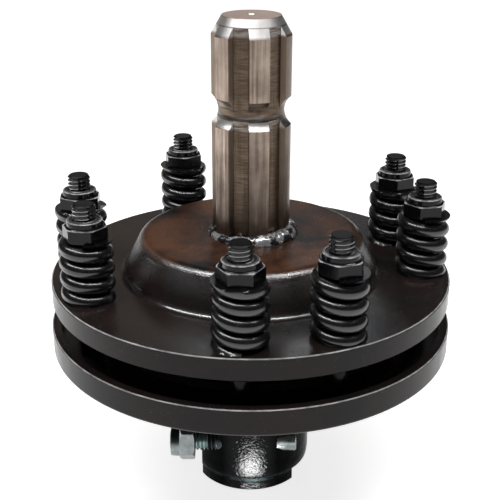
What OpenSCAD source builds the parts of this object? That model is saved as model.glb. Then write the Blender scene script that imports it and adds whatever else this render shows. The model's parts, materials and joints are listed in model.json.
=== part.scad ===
// Friction torque limiter: a splined shaft welded to a domed pressure plate, clamped by
// spring bolts to a dished lower plate, with a splined hub held between two linings.
// The hub stands on z = 0, the shaft rises along +Z and the clamp pin is towards -Y.
// All lengths are in millimetres.

/* [Output shaft] */
// Outer diameter over the splines
shaft_od = 34.9; // [33.5:0.1:36.5]
// Diameter at the bottom of the spaces between the splines
shaft_root_d = 29.7; // [28.5:0.1:31]
// Width of one spline
spline_width = 8.69; // [7.8:0.05:9.4]
// Number of splines
spline_count = 6; // [6:1:6]
// Length of shaft above the dome
shaft_length = 97.5; // [85:0.5:115]
// Axial length of the end chamfer
end_chamfer = 8; // [4:0.5:9]
// Radius of the flat end face
end_face_radius = 12.8; // [11:0.1:14]
// Distance from the shaft's end to the middle of the retaining groove
groove_from_end = 40.4; // [34:0.2:46]
// Depth of the retaining groove
groove_depth = 3; // [2:0.1:3.4]
// Arc radius of the retaining groove
groove_radius = 8; // [6.5:0.1:9]
// Turn of the first spline from the front, in degrees
shaft_turn = 12; // [0:1:59]

/* [Weld] */
// Width of the weld bead outside the shaft
weld_leg = 4.2; // [3:0.1:6]
// Height of the weld bead on the shaft
weld_height = 4.6; // [3:0.1:6]

/* [Domed plate] */
// Radius of the domed plate
plate_radius = 91; // [89:0.5:96]
// Thickness of the domed plate's flat ring
plate_thickness = 10; // [8:0.5:12]
// Room between the springs and the dome's wall at its foot
dome_room = 8.8; // [6:0.1:12]
// How far the dome's wall leans in from foot to shoulder
dome_lean = 5.4; // [3:0.1:7]
// Height of the dome above the flat ring
dome_height = 17.5; // [15:0.5:20]
// Rounding of the dome's shoulder
dome_rounding = 5.5; // [3:0.5:7]
// Fillet at the dome's foot
dome_fillet = 3.5; // [2:0.5:5]
// Wall thickness of the dome
dome_wall = 9; // [7:0.5:10]

/* [Lower plate] */
// How far the lower plate stands out past the domed plate
lower_overhang = 1; // [0:0.1:3]
// Full height of the lower plate at its rim
lower_height = 12; // [10:0.5:14]
// Width of the raised rim
rim_width = 4; // [2.5:0.1:5]
// Depth of the recess inside the rim
recess_depth = 5; // [3:0.2:6]
// Rounding of the lower outer edge
lower_edge = 1.6; // [0.6:0.2:3]

/* [Friction pack] */
// Thickness of one lining
lining_thickness = 3.5; // [3:0.1:5]
// Room between the bolts and the linings
lining_bolt_room = 4; // [2:0.5:8]
// Room between the hub's barrel and the linings
lining_hub_room = 15.5; // [11:0.5:20]
// Thickness of the hub's flange
flange_thickness = 10; // [8:0.5:13]

/* [Spring bolts] */
// Distance from the domed plate's edge to the bolts' middles
bolt_inset = 13; // [12.5:0.1:15]
// Turn of the first pair of bolts from the front, in degrees
pair_turn = 12; // [0:0.2:44]
// Angle between the two bolts of a pair, in degrees
pair_angle = 29.6; // [26:0.2:36]
// Diameter of the bolts
bolt_d = 10; // [9:0.5:10.5]
// Diameter of the flush head under the lower plate
bolt_head_d = 18; // [16:0.5:20]
// Thread left above the nuts
bolt_end = 6.8; // [3:0.1:10]
// Width across the flats of the lock nuts
nut_flats = 17; // [16:0.5:18]
// Full height of the spring bolts' lock nuts
nut_height = 8.6; // [8:0.1:12]

/* [Springs] */
// Outer diameter of the springs
spring_od = 23.6; // [23:0.1:24]
// Wire diameter of the springs
spring_wire = 6.4; // [5:0.1:6.4]
// Height of the fitted springs
spring_height = 27.4; // [26.5:0.1:32]
// Turns from end to end
spring_turns = 4.5; // [4.3:0.05:4.6]

/* [Hub] */
// Radius of the hub's barrel
hub_radius = 28.5; // [27:0.1:30]
// Length of the hub below the lower plate
hub_drop = 72; // [60:0.5:80]
// Height of the ledge above the hub's foot
ledge_height = 7.6; // [5:0.2:10]
// Width of the ledge
ledge_width = 1.4; // [0.4:0.1:2]
// Distance from the axis to the flat that faces the clamp nut
flat_offset = 23.2; // [22:0.1:24.5]
// Distance from the axis to the flat on the other side of the foot
foot_flat_offset = 20.4; // [19.6:0.1:22]
// Height of the barrel's lower rounding
hub_rounding = 5; // [2:0.5:8]

/* [Clamp pin] */
// Height of the clamp pin above the hub's foot
clamp_height = 24.5; // [20:0.1:28]
// Diameter of the clamp pin
clamp_d = 10; // [9:0.5:10.5]
// Gap between the hub's flat and the clamp nut, backed off
clamp_nut_gap = 3; // [1:0.1:6]
// Full height of the clamp nut
clamp_nut_height = 11.2; // [9:0.1:13]

/* [Hidden] */
$fn = 96;

// Clearances
running_gap = 0.8;
spline_gap = 0.1;
root_gap = 0.15;
thread_gap = 0.04;
bolt_hole_gap = 0.5;
clamp_hole_gap = 0.1;
clamp_shaft_gap = 0.1;
weld_seat_gap = 0.02;
weld_root_gap = 0.8;
cut = 1;

// Small forms
flange_step = 1;
clamp_end = 0.4;
clamp_nut_turn = -15;
flat_top_gap = 2;
ring_sink = 0.3;
collar_step = 0.2;
collar_lean = 1.1;
collar_round = 0.5;
head_depth = bolt_head_d / 2 - bolt_d / 2;
head_land = 0.8;
bolt_chamfer = 1.2;
pin_end_chamfer = 0.6;
center_mark_radius = 2.2;
center_mark_depth = 2;
center_mark_tip = 0.2;
hub_rounding_width = 0.8;
pin_inset = 1.4;
slot_length = 9.2;
slot_below = 2.6;
slot_above = 4.5;
foot_chamfer = 0.6;
bore_chamfer = 1.4;
plate_edge = 0.6;
rim_edge = 0.5;
nut_collar_height = 1.5;
clamp_collar_height = 4.2;
nut_collar_radius = nut_flats / 2 - collar_step;
nut_corner_chamfer = 1.1;
nut_first_turn = 33;
nut_turn_step = 50.5;
ring_wall = 1.4;
ring_height = 2.3;
arc_steps = 8;

// Heights of the stack, from the hub's foot upwards
lower_z = hub_drop;
rim_z = lower_z + lower_height;
floor_z = rim_z - recess_depth;
flange_z = floor_z + lining_thickness;
upper_lining_z = flange_z + flange_thickness;
plate_z = upper_lining_z + lining_thickness;
ring_z = plate_z + plate_thickness;
dome_z = ring_z + dome_height;
spring_seat_z = ring_z + spring_height;
bolt_tip_z = spring_seat_z + nut_height + bolt_end;
shaft_tip_z = dome_z + shaft_length;
shaft_foot_z = dome_z - dome_wall;
spigot_height = 5;
hub_top_z = upper_lining_z + spigot_height;

// Radii that follow from the plate and the fits
bolt_circle_radius = plate_radius - bolt_inset;
lower_radius = plate_radius + lower_overhang;
dome_foot_radius = bolt_circle_radius - spring_od / 2 - dome_room;
dome_shoulder_radius = dome_foot_radius - dome_lean;
lining_outer_radius = bolt_circle_radius - bolt_d / 2 - lining_bolt_room;
lining_inner_radius = hub_radius + lining_hub_room;
bore_radius = shaft_root_d / 2 + root_gap;
bore_major_radius = shaft_od / 2 + spline_gap;
bore_spline_width = spline_width + 2 * spline_gap;
flange_radius = lining_outer_radius - flange_step;
barrel_foot_radius = hub_radius - hub_rounding_width;
foot_radius = barrel_foot_radius - ledge_width;
lower_hole_radius = hub_radius + running_gap;
bolt_hole_radius = bolt_d / 2 + bolt_hole_gap;
clamp_y = -(bore_radius + clamp_shaft_gap + clamp_d / 2);
clamp_nut_x = flat_offset + clamp_nut_gap;
clamp_tip_x = clamp_nut_x + clamp_nut_height + clamp_end;
pin_end_x = flat_offset - pin_inset;

// Springs: sides of the wire and rings per turn
wire_sides = 8;
rings_per_turn = 18;
end_turn = 0.7;
coil_end_gap = 0.15;
ground_share = 0.29;
end_sink = ground_share * spring_wire;
end_pitch = spring_wire + coil_end_gap;
spring_mean_radius = (spring_od - spring_wire) / 2;
coil_rise = spring_height + 2 * end_sink;
coil_pitch = (coil_rise - 2 * end_turn * end_pitch) / (spring_turns - 2 * end_turn);
spring_rings = ceil(spring_turns * rings_per_turn);

// Finishes
paint_black = [0.09, 0.085, 0.085];
bare_steel = [0.62, 0.59, 0.56];
zinc = [0.70, 0.73, 0.74];
spring_black = [0.06, 0.06, 0.065];
weld_steel = [0.48, 0.48, 0.50];
lining_brown = [0.30, 0.25, 0.21];
nylon_black = [0.12, 0.12, 0.13];
nylon_white = [0.85, 0.86, 0.84];

// Angle of bolt i, measured from the front (-Y) towards +X
function bolt_angle(i) =
    pair_turn + 90 * floor(i / 2) + (i % 2 == 0 ? -pair_angle / 2 : pair_angle / 2);

// Points of an arc about (cx, cy) from angle a to angle b, with radii rx and ry
function arc_points(cx, cy, rx, ry, a, b) =
    [for (i = [0 : arc_steps]) let (t = a + (b - a) * i / arc_steps)
        [cx + rx * cos(t), cy + ry * sin(t)]];

// Turn of lock nut i about its bolt
function nut_turn(i) = (nut_first_turn + nut_turn_step * i) % 60;

// Height of the spring wire's middle after u turns
function coil_z(u) =
    u < end_turn ? u * end_pitch - end_sink
    : u > spring_turns - end_turn ? spring_height + end_sink - (spring_turns - u) * end_pitch
    : end_turn * end_pitch - end_sink + (u - end_turn) * coil_pitch;

// One ring of points around the wire, flattened at the ground ends
function coil_ring(u) =
    [for (k = [0 : wire_sides - 1])
        let (t = 360 * k / wire_sides,
             r = spring_mean_radius + spring_wire / 2 * cos(t),
             z = coil_z(u) + spring_wire / 2 * sin(t))
        [r * cos(360 * u), -r * sin(360 * u), min(max(z, 0), spring_height)]];

// Place children at bolt i, with their -Y side turned outwards
module at_bolt(i) {
    rotate(bolt_angle(i))
        translate([0, -bolt_circle_radius, 0])
            children();
}

// Outline of a splined member: core circle with keys cut off at the outer circle
module spline_outline(core_radius, outer_radius, key_width) {
    intersection() {
        circle(r = outer_radius);
        union() {
            circle(r = core_radius);
            for (k = [0 : spline_count - 1])
                rotate(360 * k / spline_count)
                    translate([0, -key_width / 2])
                        square([2 * outer_radius, key_width]);
        }
    }
}

// Six-sided outline by its width across the flats, flats towards +X and -X
module hex_outline(flats) {
    rotate(30)
        circle(r = flats / sqrt(3), $fn = 6);
}

// Lock nut standing on z = 0: chamfered six-sided body and a round collar
module lock_nut(thread_d, height, collar_height) {
    hex_height = height - collar_height;
    corner = nut_flats / sqrt(3);
    difference() {
        union() {
            intersection() {
                linear_extrude(hex_height) hex_outline(nut_flats);
                rotate_extrude()
                    polygon([
                        [0, 0], [corner - nut_corner_chamfer, 0], [corner, nut_corner_chamfer / 2],
                        [corner, hex_height - nut_corner_chamfer / 2],
                        [corner - nut_corner_chamfer, hex_height], [0, hex_height]
                    ]);
            }
            rotate_extrude()
                polygon(concat(
                    [[0, hex_height - cut], [nut_collar_radius, hex_height - cut],
                     [nut_collar_radius, hex_height]],
                    arc_points(nut_collar_radius - collar_lean - collar_round,
                        height - collar_round, collar_round, collar_round, 0, 90),
                    [[0, height]]));
        }
        translate([0, 0, -cut])
            cylinder(d = thread_d + 2 * thread_gap, h = height + 2 * cut);
        translate([0, 0, height - ring_height])
            cylinder(r = thread_d / 2 + ring_wall, h = ring_height + cut);
    }
}

// Nylon ring of a lock nut, in the same place as the nut
module nut_ring(thread_d, height) {
    translate([0, 0, height - ring_height])
        difference() {
            cylinder(r = thread_d / 2 + ring_wall - weld_seat_gap, h = ring_height - ring_sink);
            translate([0, 0, -cut])
                cylinder(d = thread_d + 2 * thread_gap, h = ring_height + 2 * cut);
        }
}

// Bring a form that stands on +Z to the clamp pin's line, pointing towards -X
module on_clamp_line(x) {
    translate([-x, clamp_y, clamp_height])
        rotate([0, -90, 0])
            children();
}

// Zinc-plated forging: foot, barrel, flange and spigot, with female splines and the pin's slot
module splined_hub() {
    color(zinc)
        difference() {
            union() {
                rotate_extrude()
                    polygon(concat(
                        [[0, ledge_height]],
                        arc_points(barrel_foot_radius, ledge_height + hub_rounding,
                            hub_rounding_width, hub_rounding, -90, 0),
                        [[hub_radius, flange_z], [flange_radius, flange_z],
                         [flange_radius, upper_lining_z], [hub_radius, upper_lining_z],
                         [hub_radius, hub_top_z], [0, hub_top_z]]));
                rotate_extrude()
                    polygon([
                        [0, 0], [foot_radius - foot_chamfer, 0], [foot_radius, foot_chamfer],
                        [foot_radius, ledge_height + cut], [0, ledge_height + cut]
                    ]);
            }
            translate([0, 0, -cut])
                linear_extrude(hub_top_z + 2 * cut)
                    rotate(-90)
                        spline_outline(bore_radius, bore_major_radius, bore_spline_width);
            translate([0, 0, -cut])
                cylinder(r1 = bore_major_radius + bore_chamfer + cut, r2 = bore_radius,
                    h = bore_major_radius + bore_chamfer + cut - bore_radius);
            translate([-2 * hub_radius - flat_offset, -hub_radius, -cut])
                cube([2 * hub_radius, 2 * hub_radius, lower_z - flat_top_gap + cut]);
            translate([foot_flat_offset, -hub_radius, -cut])
                cube([hub_radius, 2 * hub_radius, ledge_height + cut]);
            on_clamp_line(-pin_end_x - clamp_hole_gap)
                cylinder(d = clamp_d + 2 * clamp_hole_gap, h = pin_end_x + 2 * hub_radius);
            translate([pin_end_x - slot_length, -2 * hub_radius, clamp_height - slot_below])
                cube([hub_radius, 2 * hub_radius + clamp_y, slot_below + slot_above]);
        }
}

// Clamp pin across the hub: plain round end on the right, thread for the nut on the left
module clamp_pin() {
    length = pin_end_x + clamp_tip_x;
    end_radius = clamp_d / 2 - bolt_chamfer;
    color(zinc)
        on_clamp_line(-pin_end_x)
            rotate_extrude()
                polygon([
                    [0, 0], [clamp_d / 2 - pin_end_chamfer, 0], [clamp_d / 2, pin_end_chamfer],
                    [clamp_d / 2, length - bolt_chamfer], [end_radius, length], [0, length]
                ]);
}

// Lock nut of the clamp pin
module clamp_nut() {
    color(zinc)
        on_clamp_line(clamp_nut_x)
            rotate(clamp_nut_turn)
                lock_nut(clamp_d, clamp_nut_height, clamp_collar_height);
}

// Nylon ring of the clamp nut
module clamp_nut_ring() {
    color(nylon_white)
        on_clamp_line(clamp_nut_x)
            nut_ring(clamp_d, clamp_nut_height);
}

// Dished plate under the linings, with flush seats for the bolt heads
module lower_plate() {
    rim_inner_radius = lower_radius - rim_width;
    color(paint_black)
        difference() {
            rotate_extrude()
                polygon(concat(
                    [[lower_hole_radius, lower_z]],
                    arc_points(lower_radius - lower_edge, lower_z + lower_edge,
                        lower_edge, lower_edge, -90, 0),
                    [[lower_radius, rim_z - rim_edge], [lower_radius - rim_edge, rim_z],
                     [rim_inner_radius, rim_z], [rim_inner_radius, floor_z],
                     [lower_hole_radius, floor_z]]));
            for (i = [0 : 7])
                at_bolt(i) {
                    translate([0, 0, lower_z - cut])
                        cylinder(d = bolt_d + 2 * clamp_hole_gap, h = lower_height + 2 * cut);
                    translate([0, 0, lower_z - cut])
                        cylinder(d = bolt_head_d + 2 * thread_gap, h = cut + head_land + thread_gap);
                    translate([0, 0, lower_z + head_land])
                        cylinder(r1 = bolt_head_d / 2 + thread_gap, r2 = bolt_d / 2 + thread_gap,
                            h = head_depth);
                }
        }
}

// Lining ring that lies on height z
module lining(z) {
    color(lining_brown)
        translate([0, 0, z])
            difference() {
                cylinder(r = lining_outer_radius, h = lining_thickness);
                translate([0, 0, -cut])
                    cylinder(r = lining_inner_radius, h = lining_thickness + 2 * cut);
            }
}

module lower_lining() {
    lining(floor_z);
}

module upper_lining() {
    lining(upper_lining_z);
}

// Pressure plate: flat ring with a hollow dome around the shaft
module domed_plate() {
    wall_lean = atan2(dome_foot_radius - dome_shoulder_radius, dome_height);
    hollow_foot = dome_foot_radius - dome_wall;
    hollow_top = dome_shoulder_radius - dome_wall;
    color(paint_black)
        difference() {
            rotate_extrude()
                polygon(concat(
                    [[shaft_od / 2 + weld_seat_gap, dome_z - dome_wall],
                     [hollow_top - dome_fillet, dome_z - dome_wall],
                     [hollow_top, dome_z - dome_wall - dome_fillet],
                     [hollow_foot, plate_z], [plate_radius - plate_edge, plate_z],
                     [plate_radius, plate_z + plate_edge], [plate_radius, ring_z - plate_edge],
                     [plate_radius - plate_edge, ring_z]],
                    arc_points(dome_foot_radius + dome_fillet, ring_z + dome_fillet,
                        dome_fillet, dome_fillet, -90, wall_lean - 180),
                    arc_points(dome_shoulder_radius - dome_rounding, dome_z - dome_rounding,
                        dome_rounding, dome_rounding, wall_lean, 90),
                    [[shaft_od / 2 + weld_seat_gap, dome_z]]));
            for (i = [0 : 7])
                at_bolt(i)
                    translate([0, 0, plate_z - cut])
                        cylinder(r = bolt_hole_radius, h = plate_thickness + 2 * cut);
        }
}

// Male splined shaft with its retaining groove, chamfered end and centre mark
module output_shaft() {
    groove_z = shaft_tip_z - groove_from_end;
    groove_middle = shaft_od / 2 + groove_radius - groove_depth;
    color(bare_steel)
        rotate(shaft_turn - 90)
            difference() {
                intersection() {
                    translate([0, 0, shaft_foot_z])
                        linear_extrude(shaft_tip_z - shaft_foot_z)
                            spline_outline(shaft_root_d / 2, shaft_od / 2, spline_width);
                    rotate_extrude()
                        polygon([
                            [0, shaft_foot_z], [shaft_od / 2 + cut, shaft_foot_z],
                            [shaft_od / 2 + cut, shaft_tip_z - end_chamfer - cut],
                            [shaft_od / 2, shaft_tip_z - end_chamfer],
                            [end_face_radius, shaft_tip_z], [0, shaft_tip_z]
                        ]);
                }
                translate([0, 0, groove_z])
                    rotate_extrude()
                        translate([groove_middle, 0])
                            circle(r = groove_radius);
                translate([0, 0, shaft_tip_z - center_mark_depth])
                    cylinder(r1 = center_mark_tip, r2 = center_mark_radius,
                        h = center_mark_depth + center_mark_tip);
            }
}

// Weld bead around the shaft, filling the spaces between the splines
module shaft_weld() {
    weld_inner_radius = shaft_root_d / 2 + weld_root_gap;
    color(weld_steel)
        difference() {
            rotate_extrude()
                polygon(concat(
                    [[weld_inner_radius, dome_z]],
                    arc_points(shaft_od / 2, dome_z, weld_leg, weld_height, 0, 90),
                    [[weld_inner_radius, dome_z + weld_height]]));
            translate([0, 0, dome_z - cut])
                linear_extrude(weld_height + 2 * cut)
                    rotate(shaft_turn - 90)
                        spline_outline(shaft_root_d / 2, shaft_od / 2 + weld_seat_gap,
                            spline_width + 2 * weld_seat_gap);
        }
}

// Bolts with flush conical heads under the lower plate
module plate_bolts() {
    color(spring_black)
        for (i = [0 : 7])
            at_bolt(i)
                rotate_extrude()
                    polygon([
                        [0, lower_z], [bolt_head_d / 2, lower_z],
                        [bolt_head_d / 2, lower_z + head_land],
                        [bolt_d / 2, lower_z + head_land + head_depth],
                        [bolt_d / 2, bolt_tip_z - bolt_chamfer],
                        [bolt_d / 2 - bolt_chamfer, bolt_tip_z], [0, bolt_tip_z]
                    ]);
}

// Lock nuts on the springs, each turned a little differently
module lock_nuts() {
    color(spring_black)
        for (i = [0 : 7])
            at_bolt(i)
                translate([0, 0, spring_seat_z])
                    rotate(nut_turn(i))
                        lock_nut(bolt_d, nut_height, nut_collar_height);
}

// Nylon rings of the lock nuts
module lock_nut_rings() {
    color(nylon_black)
        for (i = [0 : 7])
            at_bolt(i)
                translate([0, 0, spring_seat_z])
                    nut_ring(bolt_d, nut_height);
}

// Left-hand compression spring with closed, ground ends on bolt i
// The wire's upper end points tip_angle away from the front
module spring(i, tip_angle) {
    rings = [for (s = [0 : spring_rings]) each coil_ring(spring_turns * s / spring_rings)];
    walls = [for (s = [0 : spring_rings - 1], k = [0 : wire_sides - 1])
        let (a = s * wire_sides + k, b = s * wire_sides + (k + 1) % wire_sides)
        each [[a, b, b + wire_sides], [a, b + wire_sides, a + wire_sides]]];
    top_side = wire_sides / 4;
    low_side = 3 * wire_sides / 4;
    last_ring = spring_rings * wire_sides;
    first_cap = [for (k = [1 : wire_sides - 2])
        [top_side, (top_side + k + 1) % wire_sides, (top_side + k) % wire_sides]];
    last_cap = [for (k = [1 : wire_sides - 2])
        [last_ring + low_side, last_ring + (low_side + k) % wire_sides,
         last_ring + (low_side + k + 1) % wire_sides]];
    color(spring_black)
        at_bolt(i)
            translate([0, 0, ring_z])
                rotate(tip_angle - 90 - bolt_angle(i) + 360 * spring_turns)
                    polyhedron(points = rings, faces = concat(walls, first_cap, last_cap));
}

module spring_1() { spring(0, 182); }
module spring_2() { spring(1, -7); }
module spring_3() { spring(2, -5); }
module spring_4() { spring(3, 175); }
module spring_5() { spring(4, 90); }
module spring_6() { spring(5, 240); }
module spring_7() { spring(6, 95); }
module spring_8() { spring(7, 2); }

splined_hub();
clamp_pin();
clamp_nut();
clamp_nut_ring();
lower_plate();
lower_lining();
upper_lining();
domed_plate();
output_shaft();
shaft_weld();
plate_bolts();
lock_nuts();
lock_nut_rings();
spring_1();
spring_2();
spring_3();
spring_4();
spring_5();
spring_6();
spring_7();
spring_8();
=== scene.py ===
"""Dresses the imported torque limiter: finishes, threads, coils, weld and a plain studio.

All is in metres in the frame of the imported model: the hub's foot is z = 0, the splined shaft
rises along +Z and the clamp pin is towards -Y, where the camera stands. Only the finishes
measure in millimetres.
"""

import json
import logging
import math
from dataclasses import dataclass
from enum import Enum
from typing import Callable, NamedTuple, Sequence

import bmesh
import bpy
from mathutils import Matrix, Vector


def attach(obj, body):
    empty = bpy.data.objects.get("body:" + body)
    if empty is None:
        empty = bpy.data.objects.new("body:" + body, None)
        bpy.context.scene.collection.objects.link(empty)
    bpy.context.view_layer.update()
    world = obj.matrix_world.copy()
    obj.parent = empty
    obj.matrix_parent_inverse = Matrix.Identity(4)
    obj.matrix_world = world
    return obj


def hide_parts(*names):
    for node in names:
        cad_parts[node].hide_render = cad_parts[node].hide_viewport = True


log = logging.getLogger("torque_limiter")
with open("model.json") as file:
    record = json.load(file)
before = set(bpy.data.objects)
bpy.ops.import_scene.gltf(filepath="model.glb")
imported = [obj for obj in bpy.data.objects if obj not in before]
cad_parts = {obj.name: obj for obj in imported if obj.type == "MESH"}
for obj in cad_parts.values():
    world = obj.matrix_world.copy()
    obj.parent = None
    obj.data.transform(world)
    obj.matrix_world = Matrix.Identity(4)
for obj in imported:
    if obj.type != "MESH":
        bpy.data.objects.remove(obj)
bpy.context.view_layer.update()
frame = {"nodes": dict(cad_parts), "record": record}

MM = 0.001
TURN = 2 * math.pi
# Points closer than this are one point.
MERGE = 1e-7
# Edges that bend by more than this stay sharp.
SHARP = math.radians(35.0)
# Most of a noise pattern lies between these two values.
MOST = (0.3, 0.7)

Pair = tuple[float, float]
Colour = tuple[float, float, float]
Point = tuple[float, float, float]
Socket = bpy.types.NodeSocket
Material = bpy.types.Material
Mesh = bpy.types.Mesh
Object = bpy.types.Object


class Body(Enum):
    """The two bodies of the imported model."""

    HUB = "hub"
    CLUTCH = "clutch"


class Slot(Enum):
    """The record's material slots."""

    ZINC_FORGING = "zinc_forging"
    ZINC_FASTENER = "zinc_fastener"
    MACHINED = "machined_steel"
    WELD = "weld_metal"
    PAINT = "black_paint"
    OXIDE = "black_oxide"
    SPRING = "spring_black"
    LINING = "lining"
    NYLON_BLACK = "nylon_black"
    NYLON_WHITE = "nylon_white"


class Face(Enum):
    """The forms of a lamp's face."""

    BAR = "RECTANGLE"
    OVAL = "ELLIPSE"


class Grain(NamedTuple):
    """A noise pattern: grains per metre, octaves, their strength and a scale for each axis."""

    scale: float
    detail: float = 4.0
    rough: float = 0.55
    stretch: Point = (1.0, 1.0, 1.0)


class Span(NamedTuple):
    """A range from low to high, and the values that its two ends are mapped to."""

    low: float
    high: float
    start: float = 0.0
    end: float = 1.0


class Relief(NamedTuple):
    """A bump: its depth in millimetres and the share of it that shows."""

    depth: float
    share: float


Pattern = tuple[Grain, Span]


def joined(kind: str) -> Callable[["Value", object], "Value"]:
    """A method that joins a value and another by an operation, as Blender names it."""
    return lambda first, second: first.nodes.math(kind, first, second)


class Value:
    """One output of a node, which sums can be written with."""

    __add__ = joined("ADD")
    __sub__ = joined("SUBTRACT")
    __mul__ = joined("MULTIPLY")
    __truediv__ = joined("DIVIDE")
    at_least = joined("MAXIMUM")
    at_most = joined("MINIMUM")

    def __init__(self, nodes: "Nodes", socket: Socket) -> None:
        """Notes the output and the tree that it is in."""
        self.nodes = nodes
        self.socket = socket

    def __rsub__(self, other: float) -> "Value":
        """A number less this value."""
        return self.nodes.math("SUBTRACT", other, self)

    def ramp(self, span: Span) -> "Value":
        """This value mapped from one range to another and held there."""
        return self.nodes.out("ShaderNodeMapRange", self, *span)

    def near(self, middle: float, reach: float) -> "Value":
        """How close this value is to a middle: 1 there, and 0 from the reach on."""
        away = self.nodes.math("ABSOLUTE", self - middle)
        return away.ramp(Span(0.0, reach, 1.0, 0.0))


class Nodes:
    """A short hand for building one tree of nodes."""

    tree: bpy.types.NodeTree

    def feed(self, socket: Socket, value: object) -> None:
        """Links an input to another node's output, or sets it to a plain value.

        Args:
            socket: The input.
            value: The output or the plain value, a colour without its alpha.
        """
        if isinstance(value, Value):
            self.tree.links.new(value.socket, socket)
        elif socket.type == "RGBA":
            socket.default_value = (*value, 1.0)
        else:
            socket.default_value = value

    def node(self, kind: str, *inputs: object, **named: object) -> bpy.types.Node:
        """Adds a node and fills its inputs.

        Args:
            kind: The node's type.
            inputs: What the first inputs get, in order.
            named: What other inputs get, by name, with underscores for spaces.

        Returns:
            The new node.
        """
        made = self.tree.nodes.new(kind)
        for i, value in enumerate(inputs):
            self.feed(made.inputs[i], value)
        for key, value in named.items():
            self.feed(made.inputs[key.replace("_", " ")], value)
        return made

    def out(self, kind: str, *inputs: object, **named: object) -> Value:
        """Adds a node as node() does, and returns its first output."""
        return Value(self, self.node(kind, *inputs, **named).outputs[0])

    def math(self, kind: str, first: object, second: object = 0.0) -> Value:
        """One sum on one or two values.

        Args:
            kind: The operation, as Blender names it.
            first: The first value.
            second: The second value.

        Returns:
            The result.
        """
        made = self.node("ShaderNodeMath", first, second)
        made.operation = kind
        return Value(self, made.outputs[0])

    def split(self, place: Value) -> list[Value]:
        """The three coordinates of a place."""
        parts = self.node("ShaderNodeSeparateXYZ", place).outputs
        return [Value(self, part) for part in parts]

    def reach(self, x: Value, y: Value) -> Value:
        """The distance from the Z axis."""
        return self.math("SQRT", x * x + y * y)


class Sketch(Nodes):
    """One material being built; its across, height and radius are in millimetres."""

    def __init__(self, name: str) -> None:
        """Starts a material with its surface shader.

        Args:
            name: The material's name.
        """
        self.material = bpy.data.materials.new(name)
        self.material.use_nodes = True
        self.tree = self.material.node_tree
        self.shader = self.tree.nodes["Principled BSDF"]
        self.coords = Value(self, self.node("ShaderNodeTexCoord").outputs["Object"])
        self.across, depth, self.height = (part / MM for part in self.split(self.coords))
        self.radius = self.reach(self.across, depth)

    def noise(self, grain: Grain) -> Value:
        """A noise value between 0 and 1."""
        coords = self.out("ShaderNodeMapping", self.coords, Scale=grain.stretch)
        return self.out("ShaderNodeTexNoise", coords, Scale=grain.scale, Detail=grain.detail,
                        Roughness=grain.rough)

    def pattern(self, grain: Grain, span: Span) -> Value:
        """A noise mapped to a range."""
        return self.noise(grain).ramp(span)

    def mix(self, share: Value, first: object, second: object) -> Value:
        """A colour between two colours.

        Args:
            share: How much of the second colour.
            first: The first colour.
            second: The second colour.

        Returns:
            The mixed colour.
        """
        made = self.node("ShaderNodeMix")
        made.data_type = "RGBA"
        ends = {end.identifier: end for end in (*made.inputs, *made.outputs)}
        for key, value in (("Factor_Float", share), ("A_Color", first), ("B_Color", second)):
            self.feed(ends[key], value)
        return Value(self, ends["Result_Color"])

    def bump(self, value: Value, relief: Relief, under: Value | None = None) -> Value:
        """The normal of a height pattern, over another bump where there is one."""
        below = {} if under is None else {"Normal": under}
        return self.out("ShaderNodeBump", Height=value, Distance=relief.depth * MM,
                        Strength=relief.share, **below)

    def set(self, **inputs: object) -> Material:
        """Fills the shader's inputs.

        Args:
            inputs: What each input gets, by name, with underscores for spaces.

        Returns:
            The finished material.
        """
        for key, value in inputs.items():
            self.feed(self.shader.inputs[key.replace("_", " ")], value)
        return self.material


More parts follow.
